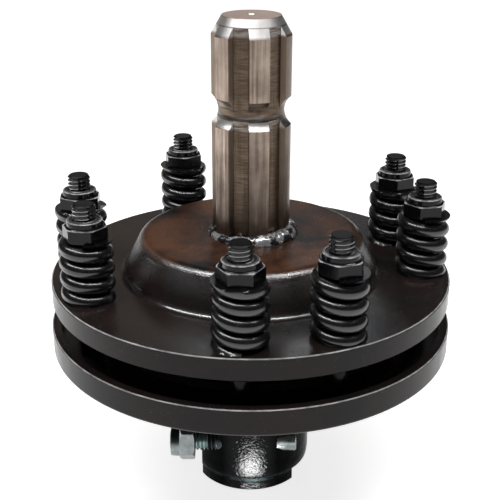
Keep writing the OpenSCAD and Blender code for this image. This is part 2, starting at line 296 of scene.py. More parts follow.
@dataclass(frozen=True)
class BlackPaint:
    """Semi-gloss black paint on pressed steel, warm on the dome, and rubbed along the edges with a
    painted highlight there.
    """

    name: str = "plate_black_paint"
    dark: Colour = (0.0097, 0.0083, 0.0087)
    warm: Colour = (0.092, 0.038, 0.0185)
    # Colour of the edge lines: worn paint and a painted highlight.
    rubbed_and_highlight: Colour = (0.55, 0.54, 0.54)
    dust: Colour = (0.36, 0.34, 0.32)
    dust_share: float = 0.6
    specular: float = 0.37
    top_specular: float = 0.08
    side_specular: float = 0.18
    bend_specular: float = 1.7
    cloud: Pattern = (Grain(34.0, 6.0, 0.65), Span(0.38, 0.62))
    specks: Pattern = (Grain(1500.0, 1.0, 0.4), Span(0.73, 0.79))
    patches: Pattern = (Grain(60.0, 2.0), Span(0.46, 0.62))
    rub: Pattern = (Grain(160.0, 4.0, 0.6), Span(0.3, 0.6, 0.35, 1.0))
    gloss: Pattern = (Grain(90.0, 6.0, 0.65), Span(*MOST, 0.18, 0.30))
    peel: Grain = Grain(1300.0, 2.0, 0.5)
    peel_relief: Relief = Relief(0.16, 0.6)
    skin: Grain = Grain(300.0, 3.0, 0.55)
    skin_relief: Relief = Relief(0.08, 0.4)
    edges: tuple[Pair, Pair] = ((90.6, 105.8), (91.7, 83.85))
    edge_reach: float = 0.42
    edge_span: Span = Span(0.1, 0.5)
    side: Pair = (89.7, 90.2)
    root: Pair = (107.4, 1.3)
    foot: Span = Span(108.0, 112.0)
    shoulder: Span = Span(112.0, 118.0)
    top: Span = Span(122.7, 123.2, 1.0, 0.0)
    warmth: Span = Span(120.5, 123.3, 0.10, 1.0)
    dome_rough: float = 0.06
    dome_peel: Span = Span(0.0, 1.0, 0.15, 1.0)
    bend_peel: float = 0.8

    def build(self) -> Material:
        """Makes the material.

        Returns:
            The material.
        """
        s = Sketch(self.name)
        warm = s.pattern(*self.cloud) * s.height.ramp(self.warmth)
        colour = s.mix(warm, self.dark, self.warm)
        dusty = s.pattern(*self.specks) * s.pattern(*self.patches)
        colour = s.mix(dusty * self.dust_share, colour, self.dust)
        # Worn paint and painted highlight: light lines along the plates' outer edges, broken up by
        # noise.
        spots = [s.radius.near(at, self.edge_reach) * s.height.near(up, self.edge_reach)
                 for at, up in self.edges]
        thin = spots[0].at_least(spots[1]).ramp(self.edge_span) * s.pattern(*self.rub)
        colour = s.mix(thin, colour, self.rubbed_and_highlight)
        dome = s.height.ramp(self.foot)
        below = s.height.ramp(self.top)
        bend = s.height.ramp(self.shoulder) * below
        rough = s.pattern(*self.gloss) + dome * self.dome_rough
        peel = s.noise(self.peel) * (dome.ramp(self.dome_peel) + bend * self.bend_peel)
        normal = s.bump(peel, self.peel_relief, s.bump(s.noise(self.skin), self.skin_relief))
        shine = s.radius.ramp(Span(*self.side, self.specular, self.side_specular))
        shine = shine + (s.height.near(*self.root) + bend) * self.bend_specular
        shine = shine * below.ramp(Span(0.0, 1.0, self.top_specular / self.specular, 1.0))
        return s.set(Base_Color=colour, Roughness=rough, Normal=normal, Specular_IOR_Level=shine)


@dataclass(frozen=True)
class SatinBlack:
    """Satin black on coiled wire and fasteners."""

    name: str
    roughness: float = 0.24
    specular: float = 0.80
    # Heights of light edge lines: worn paint and a painted highlight.
    edges: tuple[float, ...] = ()
    tip_specular: float = 0.0
    colour: Colour = (0.0041, 0.0041, 0.0054)
    worn: Colour = (0.0195, 0.0185, 0.0185)
    # Colour of the edge lines: worn paint and a painted highlight.
    rubbed_and_highlight: Colour = (0.70, 0.70, 0.72)
    wear: Pattern = (Grain(240.0, 5.0, 0.65), Span(0.56, 0.78))
    patches: Pattern = (Grain(330.0, 3.0, 0.6), Span(0.35, 0.60, 0.25, 1.0))
    gloss: Grain = Grain(700.0)
    gloss_spread: Pair = (0.03, 0.04)
    fine: Grain = Grain(1120.0, 3.0)
    relief: Relief = Relief(0.022, 0.35)
    edge_reach: float = 0.32
    shade: Pair = (102.0, 106.0)
    shade_specular: float = 0.13
    tip: Pair = (142.3, 142.6)
    tip_end: Pair = (147.8, 148.0)
    tip_rough: float = 0.30

    def build(self) -> Material:
        """Makes the material.

        Returns:
            The material.
        """
        s = Sketch(self.name)
        colour = s.mix(s.pattern(*self.wear), self.colour, self.worn)
        # Worn edges and painted highlight: light lines at the given heights.
        for edge in self.edges:
            thin = s.height.near(edge, self.edge_reach) * s.pattern(*self.patches)
            colour = s.mix(thin, colour, self.rubbed_and_highlight)
        less, more = self.gloss_spread
        rough = s.pattern(self.gloss, Span(*MOST, self.roughness - less, self.roughness + more))
        rough = rough + s.height.ramp(Span(*self.tip_end, 0.0, self.tip_rough))
        shine = s.height.ramp(Span(*self.shade, self.shade_specular, self.specular))
        bare = s.height.ramp(Span(*self.tip, 0.0, self.tip_specular))
        shine = shine + bare * s.height.ramp(Span(*self.tip_end, 1.0, 0.0))
        normal = s.bump(s.noise(self.fine), self.relief)
        return s.set(Base_Color=colour, Roughness=rough, Normal=normal, Specular_IOR_Level=shine)


@dataclass(frozen=True)
class MachinedSteel:
    """Bare machined steel, warm grey, with streaks along the shaft, stain above the weld and
    painted shade on its +X side.
    """

    name: str = "shaft_machined_steel"
    light: Colour = (0.48, 0.388, 0.325)
    dark: Colour = (0.165, 0.126, 0.099)
    stain: Colour = (0.080, 0.062, 0.050)
    bright: Colour = (0.93, 0.92, 0.91)
    groove: Colour = (0.083, 0.057, 0.038)
    cap: Colour = (0.58, 0.40, 0.31)
    flank: Colour = (0.29, 0.235, 0.188)
    streak: Grain = Grain(1.0, 5.0, 0.6, (900.0, 900.0, 26.0))
    streak_share: float = 0.55
    streak_relief: Relief = Relief(0.05, 0.5)
    blotch: Grain = Grain(70.0, 4.0, 0.6)
    tone: Span = Span(0.36, 0.66)
    gloss: Span = Span(*MOST, 0.46, 0.30)
    mill: Grain = Grain(1.0, 3.0, 0.5, (120.0, 120.0, 900.0))
    mill_relief: Relief = Relief(0.04, 0.4)
    marks: Pattern = (Grain(1.0, 2.0, 0.5, (160.0, 160.0, 1500.0)), Span(0.35, 0.65, 0.72, 1.0))
    root: Span = Span(14.91, 14.99, 1.0, 0.0)
    root_end: Span = Span(217.4, 217.8, 1.0, 0.0)
    wall_low: Span = Span(14.95, 15.15)
    wall_high: Span = Span(17.1, 17.35, 0.85, 0.0)
    wall_streak: Span = Span(0.3, 0.6, 0.7, 1.0)
    seat: Pair = (177.2, 3.6)
    seat_soft: Span = Span(0.0, 0.4)
    seat_high: Span = Span(17.0, 17.4, 0.75, 0.0)
    end: Span = Span(213.0, 214.2)
    end_share: float = 0.8
    face: Span = Span(220.6, 220.9)
    face_blotch: Span = Span(*MOST, 0.7, 1.0)
    # Painted shade: the +X side is darkened towards the groove colour.
    shaded_side: Span = Span(9.0, 12.5, 0.0, 0.75)
    shaded_side_streak: Span = Span(0.3, 0.6, 0.75, 1.0)
    scorch: Span = Span(123.5, 153.5, 1.0, 0.0)
    scorch_edge: Pattern = (Grain(160.0), Span(0.25, 0.75, 0.35, 1.0))

    def build(self) -> Material:
        """Makes the material.

        Returns:
            The material.
        """
        s = Sketch(self.name)
        streak, blotch = s.noise(self.streak), s.noise(self.blotch)
        both = streak * self.streak_share + blotch * (1.0 - self.streak_share)
        colour = s.mix(both.ramp(self.tone), self.dark, self.light)
        wall = s.radius.ramp(self.wall_low) * s.radius.ramp(self.wall_high)
        colour = s.mix(wall * streak.ramp(self.wall_streak), colour, self.flank)
        seat = s.height.near(*self.seat).ramp(self.seat_soft) * s.radius.ramp(self.seat_high)
        colour = s.mix(seat, colour, self.bright)
        end = s.height.ramp(self.end)
        colour = s.mix(end * self.end_share, colour, self.bright)
        face = s.height.ramp(self.face) * blotch.ramp(self.face_blotch)
        colour = s.mix(face, colour, self.cap)
        root = s.radius.ramp(self.root) * s.pattern(*self.marks) * s.height.ramp(self.root_end)
        colour = s.mix(root, colour, self.groove)
        # Painted shade on the +X side, in streaks, below the top end.
        side_shade = s.across.ramp(self.shaded_side) * streak.ramp(self.shaded_side_streak) * (1.0 - end)
        colour = s.mix(side_shade, colour, self.groove)
        scorched = s.height.ramp(self.scorch) * s.pattern(*self.scorch_edge)
        colour = s.mix(scorched, colour, self.stain)
        normal = s.bump(s.noise(self.mill), self.mill_relief, s.bump(streak, self.streak_relief))
        return s.set(Base_Color=colour, Metallic=1.0, Roughness=both.ramp(self.gloss),
                     Normal=normal)


@dataclass(frozen=True)
class WeldMetal:
    """Weld metal under black paint, which is off in bright patches."""

    name: str = "weld_rippled_steel"
    light: Colour = (0.92, 0.92, 0.95)
    dark: Colour = (0.014, 0.013, 0.013)
    mottle: Grain = Grain(210.0, 4.0, 0.6)
    bare: Span = Span(0.49, 0.60)
    metal: Span = Span(0.0, 1.0, 0.1, 0.9)
    gloss: Span = Span(*MOST, 0.36, 0.2)
    pits: Grain = Grain(900.0, 3.0)
    relief: Relief = Relief(0.12, 0.5)
    specular: float = 0.5

    def build(self) -> Material:
        """Makes the material.

        Returns:
            The material.
        """
        s = Sketch(self.name)
        mottle = s.noise(self.mottle)
        bare = mottle.ramp(self.bare)
        return s.set(Base_Color=s.mix(bare, self.dark, self.light), Metallic=bare.ramp(self.metal),
                     Roughness=mottle.ramp(self.gloss),
                     Normal=s.bump(s.noise(self.pits), self.relief),
                     Specular_IOR_Level=self.specular)


@dataclass(frozen=True)
class ForgedZinc:
    """Dark passivated zinc over a forged skin: blue-green black, glossy and grainy, with a painted
    highlight line near the foot.
    """

    name: str = "hub_forged_zinc"
    light: Colour = (0.0012, 0.0020, 0.0022)
    dark: Colour = (0.0002, 0.0004, 0.0005)
    # Colour of a painted highlight line around the hub near its foot.
    rim: Colour = (0.075, 0.120, 0.120)
    specular: float = 0.12
    flank_specular: float = 0.028
    tone: Grain = Grain(130.0, 5.0, 0.6)
    tone_span: Span = Span(0.48, 0.74)
    gloss: Span = Span(*MOST, 0.05, 0.14)
    grain: Grain = Grain(700.0, 3.0, 0.6)
    grain_relief: Relief = Relief(0.5, 0.7)
    pits: Grain = Grain(1500.0, 1.0, 0.4)
    pit_relief: Relief = Relief(0.22, 0.7)
    skin: Grain = Grain(240.0, 2.0, 0.5)
    skin_relief: Relief = Relief(0.6, 0.5)
    flank: Pair = (8.0, 13.0)
    flank_grain: float = 0.35
    ring_highlight_at: Pair = (5.6, 1.0)
    ring_highlight_span: Span = Span(0.35, 0.6)

    def build(self) -> Material:
        """Makes the material.

        Returns:
            The material.
        """
        s = Sketch(self.name)
        tone = s.noise(self.tone)
        colour = s.mix(tone.ramp(self.tone_span), self.dark, self.light)
        # Painted highlight line around the hub near its foot, broken up by the tone.
        rim = s.height.near(*self.ring_highlight_at) * tone.ramp(self.ring_highlight_span)
        colour = s.mix(rim, colour, self.rim)
        aside = s.math("ABSOLUTE", s.across)
        coarse = aside.ramp(Span(*self.flank, 1.0, self.flank_grain))
        normal = s.bump(s.noise(self.skin), self.skin_relief)
        normal = s.bump(s.noise(self.pits) * coarse, self.pit_relief, normal)
        normal = s.bump(s.noise(self.grain) * coarse, self.grain_relief, normal)
        shine = aside.ramp(Span(*self.flank, self.specular, self.flank_specular))
        return s.set(Base_Color=colour, Roughness=tone.ramp(self.gloss), Normal=normal,
                     Specular_IOR_Level=shine)


@dataclass(frozen=True)
class BrightZinc:
    """Bright zinc plating on the clamp pin and its nut, with painted shade on the upper collar, and
    dark, not metal, where the pin runs inside the hub.
    """

    name: str = "fastener_bright_zinc"
    light: Colour = (0.40, 0.43, 0.425)
    dark: Colour = (0.245, 0.275, 0.277)
    thread: Colour = (0.38, 0.47, 0.46)
    # Painted shade on the nut's upper collar; the same dark colour on the pin inside the hub.
    dull_dark: Colour = (0.013, 0.021, 0.023)
    specular: float = 0.45
    tone: Grain = Grain(300.0, 5.0, 0.6)
    tone_span: Span = Span(0.35, 0.65)
    gloss: Span = Span(*MOST, 0.26, 0.40)
    fine: Grain = Grain(1100.0, 3.0)
    relief: Relief = Relief(0.05, 0.4)
    collar: Span = Span(-33.4, -33.2, 1.0, 0.0)
    # Heights on the collar that get the painted shade.
    collar_shade: Span = Span(23.5, 29.0)
    nut: Span = Span(-26.3, -26.2)
    hub: Span = Span(-20.4, -19.8)
    pin: Span = Span(6.0, 7.0, 1.0, 0.0)

    def build(self) -> Material:
        """Makes the material.

        Returns:
            The material.
        """
        s = Sketch(self.name)
        tone = s.noise(self.tone)
        colour = s.mix(tone.ramp(self.tone_span), self.dark, self.light)
        pin = s.across.ramp(self.pin)
        colour = s.mix(s.across.ramp(self.nut) * pin, colour, self.thread)
        # Painted shade: the collar's upper part goes dark and not metal; the pin inside the hub
        # goes the same.
        collar = s.across.ramp(self.collar) * s.height.ramp(self.collar_shade)
        dull = collar.at_least(s.across.ramp(self.hub) * pin)
        colour = s.mix(dull, colour, self.dull_dark)
        normal = s.bump(s.noise(self.fine), self.relief)
        return s.set(Base_Color=colour, Metallic=1.0 - dull, Roughness=tone.ramp(self.gloss),
                     Normal=normal, Specular_IOR_Level=self.specular)


@dataclass(frozen=True)
class Moulded:
    """Matt moulded material in two tones, for the nuts' rings and the linings."""

    name: str
    first: Colour
    second: Colour
    grain: Grain = Grain(400.0, 3.0)
    span: Span = Span(0.35, 0.65)
    roughness: float = 0.5
    relief: Relief = Relief(0.04, 0.3)

    def build(self) -> Material:
        """Makes the material.

        Returns:
            The material.
        """
        s = Sketch(self.name)
        tone = s.noise(self.grain)
        colour = s.mix(tone.ramp(self.span), self.first, self.second)
        return s.set(Base_Color=colour, Roughness=self.roughness, Normal=s.bump(tone, self.relief))


@dataclass(frozen=True)
class Dressing:
    """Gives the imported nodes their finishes."""

    finishes: dict[str, Material]

    def dress(self) -> None:
        """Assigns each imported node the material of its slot."""
        slots = {row["node"]: row["material_slot"] for row in frame["record"]["subparts"]}
        for name, node in frame["nodes"].items():
            node.data.materials.clear()
            node.data.materials.append(self.finishes[slots[name]])
            log.info("dressed %s with %s", name, slots[name])


def add(name: str, data: bpy.types.ID) -> Object:
    """Puts a new object into the scene.

    Args:
        name: The object's name.
        data: Its mesh, lamp or camera.

    Returns:
        The object.
    """
    made = bpy.data.objects.new(name, data)
    bpy.context.scene.collection.objects.link(made)
    return made


def evaluated(piece: Object) -> Mesh:
    """The plain mesh that an object's modifiers make of it."""
    graph = bpy.context.evaluated_depsgraph_get()
    return bpy.data.meshes.new_from_object(piece.evaluated_get(graph), depsgraph=graph)


class Graph(Nodes):
    """One Geometry Nodes tree being built."""

    def __init__(self, name: str) -> None:
        """Starts a tree with one geometry input and one geometry output.

        Args:
            name: The tree's name.
        """
        self.tree = bpy.data.node_groups.new(name, "GeometryNodeTree")
        for side in ("INPUT", "OUTPUT"):
            self.tree.interface.new_socket("Geometry", in_out=side,
                                           socket_type="NodeSocketGeometry")
        self.settings: dict[str, object] = {}
        self.start = self.node("NodeGroupInput")
        self.end = self.node("NodeGroupOutput")

    def sizes(self, settings: dict[str, object]) -> list[Value]:
        """Adds named inputs to the tree and notes what they are set to.

        Args:
            settings: The inputs' names and values, which are numbers or objects.

        Returns:
            What they give inside the tree.
        """
        self.settings = settings
        for name, value in settings.items():
            kind = "Object" if isinstance(value, Object) else "Float"
            self.tree.interface.new_socket(name, in_out="INPUT", socket_type="NodeSocket" + kind)
        return [Value(self, self.start.outputs[name]) for name in settings]

    def vector(self, x: object, y: object, z: object) -> Value:
        """A vector from three values."""
        return self.out("ShaderNodeCombineXYZ", x, y, z)

    def position(self) -> list[Value]:
        """The three coordinates of each point."""
        return self.split(self.out("GeometryNodeInputPosition"))

    def put(self, geometry: Value, place: Value) -> Value:
        """Moves each point of a geometry to its place."""
        return self.out("GeometryNodeSetPosition", geometry, Position=place)

    def ring(self, sides: int, radius: Value) -> Value:
        """A round curve."""
        return self.out("GeometryNodeCurvePrimitiveCircle", sides, Radius=radius)

    def smooth(self, geometry: Value, limit: float = 0.6) -> Value:
        """Smooth shading with sharp edges past an angle.

        Args:
            geometry: The mesh to shade.
            limit: The angle in radians above which an edge stays sharp.

        Returns:
            The shaded mesh.
        """
        soft = self.out("GeometryNodeSetShadeSmooth", geometry)
        bent = self.math("GREATER_THAN", self.out("GeometryNodeInputMeshEdgeAngle"), limit)
        hard = self.node("GeometryNodeSetShadeSmooth", soft, bent, False)
        hard.domain = "EDGE"
        return Value(self, hard.outputs[0])

    def finish(self, geometry: Value, material: Material) -> None:
        """Ends the tree in real geometry with its material."""
        real = self.out("GeometryNodeRealizeInstances", geometry)
        self.feed(self.end.inputs[0], self.out("GeometryNodeSetMaterial", real, Material=material))

    def bake(self, name: str, base: Mesh) -> Object:
        """Runs the tree on a mesh and keeps the result as a plain mesh.

        Args:
            name: The new piece's name.
            base: The mesh that the tree starts from.

        Returns:
            The finished piece.
        """
        piece = add(name, base)
        modifier = piece.modifiers.new(name, "NODES")
        modifier.node_group = self.tree
        for item in self.tree.interface.items_tree:
            if item.in_out == "INPUT" and item.name in self.settings:
                modifier[item.identifier] = self.settings[item.name]
        mesh = evaluated(piece)
        piece.modifiers.clear()
        piece.data = mesh
        mesh.name = name
        bpy.data.meshes.remove(base)
        return piece


def keep(piece: Object, body: Body, slot: Slot, *nodes: str) -> None:
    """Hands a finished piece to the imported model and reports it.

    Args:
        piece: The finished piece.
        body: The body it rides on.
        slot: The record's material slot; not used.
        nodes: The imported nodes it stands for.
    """
    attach(piece, body.value)
    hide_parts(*nodes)
    log.info("built %s: %d faces for %s", piece.name, len(piece.data.polygons), ", ".join(nodes))


def shell(name: str, points: Sequence[Point], faces: Sequence[Sequence[int]],
          sharp: float = SHARP) -> Mesh:
    """A closed mesh with merged doubles, outward faces and sharp edges past an angle.

    Args:
        name: The mesh's name.
        points: Its points in metres.
        faces: Its faces as point numbers.
        sharp: The angle above which an edge stays sharp.

    Returns:
        The mesh.
    """
    mesh = bpy.data.meshes.new(name)
    mesh.from_pydata(points, [], faces)
    work = bmesh.new()
    work.from_mesh(mesh)
    bmesh.ops.remove_doubles(work, verts=work.verts, dist=MERGE)
    bmesh.ops.dissolve_degenerate(work, edges=work.edges, dist=MERGE)
    bmesh.ops.recalc_face_normals(work, faces=work.faces)
    crease(work, sharp)
    work.to_mesh(mesh)
    work.free()
    return mesh


def crease(work: bmesh.types.BMesh, sharp: float) -> None:
    """Shades a mesh smooth with sharp edges past an angle.

    Args:
        work: The mesh being edited.
        sharp: The angle above which an edge stays sharp.
    """
    for face in work.faces:
        face.smooth = True
    for edge in work.edges:
        edge.smooth = len(edge.link_faces) == 2 and edge.calc_face_angle() < sharp


def at_turn(radius: float, turn: float, height: float) -> Point:
    """The point at a radius and a height, turned about the Z axis by an angle in radians."""
    return (radius * math.cos(turn), radius * math.sin(turn), height)


def turned(profile: Sequence[Pair], sides: int = 64) -> tuple[list[Point], list[tuple[int, ...]]]:
    """Points and faces of a profile turned around the Z axis.

    Args:
        profile: Radius and height of each ring, closed on itself or ending on the axis.
        sides: Points around the axis.

    Returns:
        The points and the faces.
    """
    points = [at_turn(radius, TURN * k / sides, height)
              for radius, height in profile for k in range(sides)]
    faces = []
    for j in range(len(profile) - 1):
        for k in range(sides):
            a, b = j * sides + k, j * sides + (k + 1) % sides
            faces.append((a, b, b + sides, a + sides))
    return points, faces


@dataclass(frozen=True)
class BoltCircle:
    """The places of the eight spring bolts, two by two."""

    radius: float = 78.0 * MM
    pair_turn: float = 12.0
    pair_angle: float = 29.6
    pair_step: float = 90.0
    count: int = 8

    def angle(self, i: int) -> float:
        """The angle of bolt i from the front towards +X, in degrees."""
        half = self.pair_angle / 2
        return self.pair_turn + self.pair_step * (i // 2) + (half if i % 2 else -half)

    def points(self, name: str, height: float, turns: Sequence[float]) -> Mesh:
        """Eight loose points that carry the turn of what stands on them.

        Args:
            name: The mesh's name.
            height: The points' height in metres.
            turns: The turn about the upright axis at each point, in degrees.

        Returns:
            The mesh of points.
        """
        mesh = bpy.data.meshes.new(name)
        places = []
        for i in range(self.count):
            a = math.radians(self.angle(i))
            places.append((self.radius * math.sin(a), -self.radius * math.cos(a), height))
        mesh.from_pydata(places, [], [])
        store = mesh.attributes.new("turn", "FLOAT", "POINT")
        store.data.foreach_set("value", [math.radians(turn) for turn in turns])
        return mesh


def on_points(graph: Graph, form: Value) -> Value:
    """Stands a copy of a form on each point, turned by the point's own turn.

    Args:
        graph: The tree to add to.
        form: The form to copy.

    Returns:
        The copies.
    """
    turn = graph.out("GeometryNodeInputNamedAttribute", "turn")
    spin = graph.out("FunctionNodeEulerToRotation", graph.vector(0.0, 0.0, turn))
    feet = Value(graph, graph.start.outputs[0])
    return graph.out("GeometryNodeInstanceOnPoints", feet, Instance=form, Rotation=spin)


@dataclass(frozen=True)
class SpringSet:
    """Eight left-hand compression springs with closed, ground ends."""

    circle: BoltCircle
    foot: float = 106.0 * MM
    outer: float = 23.6 * MM
    wire: float = 6.4 * MM
    height: float = 27.4 * MM
    turns: float = 4.5
    end_turn: float = 0.7
    end_gap: float = 0.15 * MM
    ground_share: float = 0.29
    rings: int = 216
    wire_sides: int = 20
    front: float = -90.0
    tips: tuple[float, ...] = (182.0, -7.0, -5.0, 175.0, 90.0, 240.0, 95.0, 2.0)

    def build(self, material: Material) -> None:
        """Winds one coil and stands it on every bolt point.

        Args:
            material: The springs' finish.
        """
        step = self.wire + self.end_gap
        ground = self.ground_share * self.wire
        climb = self.height + 2 * (ground - self.end_turn * step)
        g = Graph("wound_coils")
        mean, wire, height, turns, closed, end_pitch, pitch, sink = g.sizes({
            "Mean radius": (self.outer - self.wire) / 2, "Wire radius": self.wire / 2,
            "Height": self.height, "Turns": self.turns, "Closed turns": self.end_turn,
            "End pitch": step, "Pitch": climb / (self.turns - 2 * self.end_turn),
            "End sink": ground})
        u = g.out("GeometryNodeInputIndex") / float(self.rings) * turns
        first = u.at_most(closed) * end_pitch
        middle = (u - closed).at_least(0.0).at_most(turns - closed - closed) * pitch
        last = (u - (turns - closed)).at_least(0.0) * end_pitch
        angle = u * -TURN
        place = g.vector(mean * g.math("COSINE", angle), mean * g.math("SINE", angle),
                         first + middle + last - sink)
        line = g.out("GeometryNodeMeshLine", self.rings + 1)
        path = g.out("GeometryNodeMeshToCurve", g.put(line, place))
        section = g.ring(self.wire_sides, wire)
        coil = g.out("GeometryNodeCurveToMesh", path, section, Fill_Caps=True)
        x, y, z = g.position()
        flat = g.put(coil, g.vector(x, y, z.at_least(0.0).at_most(height)))
        g.finish(on_points(g, g.smooth(flat)), material)
        spins = [tip + self.front + 360.0 * self.turns for tip in self.tips]
        piece = g.bake("spring_coils", self.circle.points("spring_feet", self.foot, spins))
        nodes = [f"spring_{i + 1}" for i in range(self.circle.count)]
        keep(piece, Body.CLUTCH, Slot.SPRING, *nodes)


@dataclass(frozen=True)
class Thread:
    """A rolled thread on a rod, which runs out below and is chamfered at the tip."""

    radius: float
    pitch: float = 1.75 * MM
    depth: float = 1.05 * MM
    chamfer: float = 0.8 * MM
    sides: int = 48
    sharp: float = math.radians(30.0)
    steps: tuple[float, ...] = (0.0, 0.0, 0.5, 1.0, 0.5)

    def rod(self, name: str, below: Sequence[Pair], low: float, high: float) -> Mesh:
        """A rod with a turned lower part and a threaded upper part.

        Args:
            name: The mesh's name.
            below: Radius and height of the turned part's rings, from the axis up to the thread.
            low: The height where the thread starts.
            high: The height of the tip.

        Returns:
            The rod's mesh.
        """
        points, faces = turned([*below, (self.radius, low)], self.sides)
        base, rows = len(points), len(self.steps)
        total = int((high - low) / self.pitch * rows) + 2 * rows
        ring = self.radius - self.chamfer
        for j in range(-rows, total):
            for k in range(self.sides):
                rise = low + self.pitch * (j / rows + k / self.sides)
                fade = min(1.0, max(0.0, (rise - low) / self.pitch))
                radius = self.radius - self.depth * self.steps[j % rows] * fade
                radius = min(radius, ring + max(0.0, high - rise))
                if rise <= low:
                    radius = self.radius
                height = min(max(rise, low), high)
                points.append(at_turn(radius, TURN * k / self.sides, height))
        for j in range(total + rows - 1):
            for k in range(self.sides):
                a = base + j * self.sides + k
                b = a + 1 if k < self.sides - 1 else base + (j + rows) * self.sides
                if b + self.sides < len(points):
                    faces.append((a, b, b + self.sides, a + self.sides))
        tip = len(points)
        points += [at_turn(ring, TURN * k / self.sides, high) for k in range(self.sides)]
        faces.append(tuple(range(tip, tip + self.sides)))
        return shell(name, points, faces, self.sharp)


@dataclass(frozen=True)
class LockNut:
    """A six-sided lock nut with chamfered corners and a rounded collar."""

    flats: float = 17.0 * MM
    height: float = 8.6 * MM
    collar: float = 2.3 * MM
    bore: float = 5.04 * MM
    ring_wall: float = 1.4 * MM
    ring_depth: float = 2.3 * MM
    ring_fit: float = 0.04 * MM
    corner_cut: float = 1.5 * MM
    cut_slope: float = 0.8
    collar_lean: float = 0.25 * MM
    collar_round: float = 0.6 * MM
    collar_step: float = 0.7 * MM
    collar_sunk: float = 1.0 * MM
    collar_neck: float = 0.2 * MM
    foot_gap: float = 0.02 * MM
    arc: int = 8
    sides: int = 6
    first_corner: float = 30.0
    lathe_sides: int = 96
    margin: float = 1.0 * MM
    sharp: float = math.radians(20.0)

    def mesh(self, name: str) -> Mesh:
        """The nut standing on z = 0.

        Args:
            name: The mesh's name.

        Returns:
            The nut's mesh.
        """
        corner = self.flats / math.sqrt(3.0)
        hexagon = self.height - self.collar
        body = self.cut_hexagon(corner, hexagon)
        rim = self.flats / 2 - self.collar_step
        seat = self.height - self.ring_depth
        soft = self.collar_round
        start = (self.bore, self.foot_gap)
        profile = [start, (rim - self.collar_lean, self.foot_gap),
                   (rim, hexagon - self.collar_sunk), (rim, hexagon + self.collar_neck)]
        for i in range(self.arc + 1):
            turn = math.pi / 2 * i / self.arc
            profile.append((rim - self.collar_lean - soft + soft * math.cos(turn),
                            self.height - soft + soft * math.sin(turn)))
        inner = self.bore - self.ring_fit + self.ring_wall
        profile += [(inner, self.height), (inner, seat), (self.bore, seat), start]
        collar = shell(name + "_collar", *turned(profile))
        work = bmesh.new()
        work.from_mesh(body)
        work.from_mesh(collar)
        crease(work, self.sharp)
        work.to_mesh(body)
        work.free()
        body.name = name
        bpy.data.meshes.remove(collar)
        return body

    def cut_hexagon(self, corner: float, height: float) -> Mesh:
        """The six-sided body with its corners turned off, by an exact intersection.

        Args:
            corner: The radius of the hexagon's corners.
            height: The hexagon's height.

        Returns:
            The body's mesh.
        """
        cut, n = self.corner_cut, self.sides
        drop = cut * self.cut_slope
        profile = [(0.0, 0.0), (corner - cut / 2, 0.0), (corner, drop / 2),
                   (corner, height - drop), (corner - cut, height), (0.0, height)]
        lathe = shell("nut_lathe", *turned(profile, self.lathe_sides))
        points = [at_turn(corner, math.radians(self.first_corner + 360.0 / n * k), level)
                  for level in (-self.margin, height + self.margin) for k in range(n)]
        walls = [(k, (k + 1) % n, n + (k + 1) % n, n + k) for k in range(n)]
        ends = [tuple(range(n - 1, -1, -1)), tuple(range(n, 2 * n))]
        prism = shell("nut_prism", points, [*walls, *ends])
        first, second = add("nut_prism", prism), add("nut_lathe", lathe)
        cutter = first.modifiers.new("corners", "BOOLEAN")
        cutter.operation, cutter.solver, cutter.object = "INTERSECT", "EXACT", second
        mesh = evaluated(first)
        for form, data in ((first, prism), (second, lathe)):
            bpy.data.objects.remove(form)
            bpy.data.meshes.remove(data)
        return mesh


@dataclass(frozen=True)
class BoltSet:
    """Eight plate bolts with threaded tips, and the lock nuts on the springs."""

    circle: BoltCircle
    thread: Thread = Thread(5.0 * MM)
    nut: LockNut = LockNut()
    foot: float = 72.0 * MM
    head_radius: float = 9.0 * MM
    head_land: float = 0.8 * MM
    seat: float = 133.4 * MM
    thread_under: float = 1.0 * MM
    tip: float = 148.8 * MM
    nut_turn: float = 33.0
    nut_step: float = 50.5
    bolt_step: float = 47.0

    def build(self, material: Material) -> None:
        """Makes one bolt and one nut and stands them on every bolt point.

        Args:
            material: The fasteners' finish.
        """
        radius, foot = self.thread.radius, self.foot
        below = [(0.0, 0.0), (self.head_radius, 0.0), (self.head_radius, self.head_land),
                 (radius, self.head_land + self.head_radius - radius)]
        low = self.seat + self.thread_under - foot
        bolt = self.thread.rod("plate_bolt", below, low, self.tip - foot)
        nut = self.nut.mesh("lock_nut")
        order = range(self.circle.count)
        bolt_turns = [self.bolt_step * i for i in order]
        nut_turns = [self.circle.angle(i) + self.nut_turn + self.nut_step * i for i in order]
        for name, form, height, turns, node in (
                ("threaded_bolts", bolt, foot, bolt_turns, "plate_bolts"),
                ("spring_lock_nuts", nut, self.seat, nut_turns, "lock_nuts")):
            model = bpy.data.objects.new(name + "_pattern", form)
            g = Graph(name + "_copies")
            source = g.node("GeometryNodeObjectInfo", *g.sizes({"Pattern": model}))
            g.finish(on_points(g, Value(g, source.outputs["Geometry"])), material)
            piece = g.bake(name, self.circle.points(name + "_feet", height, turns))
            bpy.data.objects.remove(model)
            bpy.data.meshes.remove(form)
            keep(piece, Body.CLUTCH, Slot.OXIDE, node)


